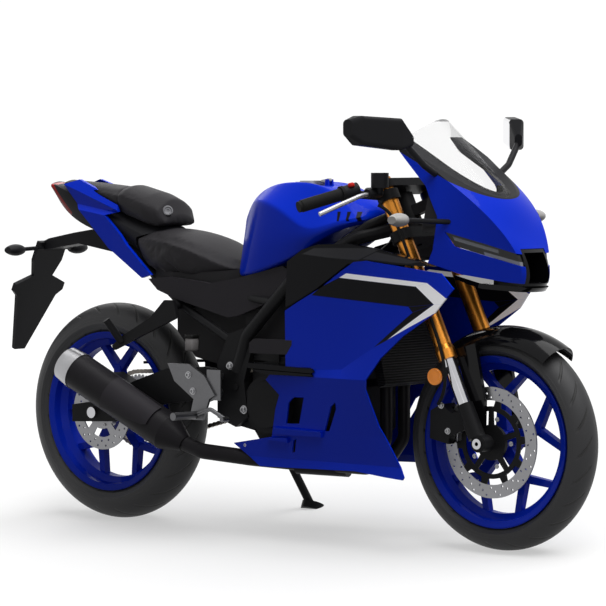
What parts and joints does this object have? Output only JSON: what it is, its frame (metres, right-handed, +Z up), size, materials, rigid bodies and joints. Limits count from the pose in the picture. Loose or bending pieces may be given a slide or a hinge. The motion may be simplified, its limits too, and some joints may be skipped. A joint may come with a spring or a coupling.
{
  "type": "sport motorcycle",
  "caption": "Fully faired sport motorcycle with inverted fork, cast wheels, clip-on bars, side exhaust and stepped seat, leaning on its side stand.",
  "frame": {"origin": "on the ground under the middle of the machine's box, as it leans on its side stand", "axes": "+X forward along the machine, +Y to the rider's left, +Z up"},
  "size_m": [2.0892, 0.7846, 1.2049],
  "materials": {
    "body_blue": "deep gloss racing blue",
    "wheel_blue": "gloss blue",
    "tyre_black": "matt",
    "disc_steel": "brushed",
    "dark_metal": "satin black",
    "engine_metal": "satin black cast",
    "gold_anodised": "anodised gold",
    "chrome_tube": "hard chrome",
    "bright_alloy": "satin",
    "chain_steel": "oiled",
    "spring_yellow": "gloss",
    "black_plastic": "satin",
    "gloss_black": "gloss",
    "seat_cover": "matt vinyl",
    "grip_rubber": "matt",
    "clear_screen": "clear",
    "lamp_glass": "clear",
    "lamp_red": "clear red"
  },
  "bodies": {
    "chassis": {"belly_cowls": "body_blue", "chain_guard": "black_plastic", "cockpit_panel": "black_plastic", "drive_chain": "chain_steel", "engine_block": "engine_metal", "engine_covers": "engine_metal", "exhaust_pipes": "dark_metal", "footrests": "bright_alloy", "front_indicators": "lamp_glass", "fuel_tank": "body_blue", "headlamps": "lamp_glass", "lamp_wings": "body_blue", "main_frame": "dark_metal", "mirrors": "black_plastic", "muffler": "dark_metal", "muffler_cap": "bright_alloy", "muffler_shield": "black_plastic", "nose_cowl": "body_blue", "nose_duct": "black_plastic", "pillion_footrests": "dark_metal", "pillion_seat": "seat_cover", "plate_holder": "black_plastic", "radiator": "dark_metal", "rear_axle": "chrome_tube", "rear_caliper": "dark_metal", "rear_indicators": "black_plastic", "rear_shock": "dark_metal", "rider_seat": "seat_cover", "screen_seal": "black_plastic", "seat_rails": "dark_metal", "shock_spring": "spring_yellow", "side_covers": "black_plastic", "side_cowls": "body_blue", "side_trims": "gloss_black", "swingarm": "dark_metal", "tail_cowls": "body_blue", "tail_lamp": "lamp_red", "tail_tray": "black_plastic", "windscreen": "clear_screen"},
    "fork": {"triple_clamps": "dark_metal", "fork_outer_tubes": "gold_anodised", "fork_inner_tubes": "chrome_tube", "fork_bottoms": "dark_metal", "front_axle": "chrome_tube", "front_fender": "gloss_black", "front_caliper": "dark_metal", "handlebars": "dark_metal", "grips": "grip_rubber", "hand_levers": "bright_alloy", "switchgear": "black_plastic"},
    "front_wheel": {"front_tyre": "tyre_black", "front_rim": "wheel_blue", "front_disc": "disc_steel", "front_disc_carrier": "dark_metal"},
    "rear_wheel": {"rear_tyre": "tyre_black", "rear_rim": "wheel_blue", "rear_disc": "disc_steel", "rear_sprocket": "disc_steel"},
    "side_stand": {"side_stand": "dark_metal"},
    "fuel_cap": {"fuel_cap": "bright_alloy"}
  },
  "joints": [
    {"name": "steering", "type": "hinge", "parent": "chassis", "child": "fork", "pos_m": [0.42911, -0.01025, 0.88143], "axis": [-0.4225, 0.1652, 0.8912], "range_deg": [-34, 34]},
    {"name": "front_wheel_spin", "type": "hinge", "parent": "fork", "child": "front_wheel", "pos_m": [0.75155, -0.12004, 0.28902], "axis": [0, 0.9833, -0.1822], "continuous": true},
    {"name": "rear_wheel_spin", "type": "hinge", "parent": "chassis", "child": "rear_wheel", "pos_m": [-0.62845, -0.11621, 0.30993], "axis": [0, 0.9833, -0.1822], "continuous": true},
    {"name": "side_stand_fold", "type": "hinge", "parent": "chassis", "child": "side_stand", "pos_m": [-0.15846, -0.00027, 0.21106], "axis": [-0.1059, 0.9909, -0.083], "range_deg": [0, 100]},
    {"name": "fuel_cap_hinge", "type": "hinge", "parent": "chassis", "child": "fuel_cap", "pos_m": [0.15368, 0.00643, 0.97151], "axis": [0, 0.9833, -0.1822], "range_deg": [0, 95]}
  ]
}
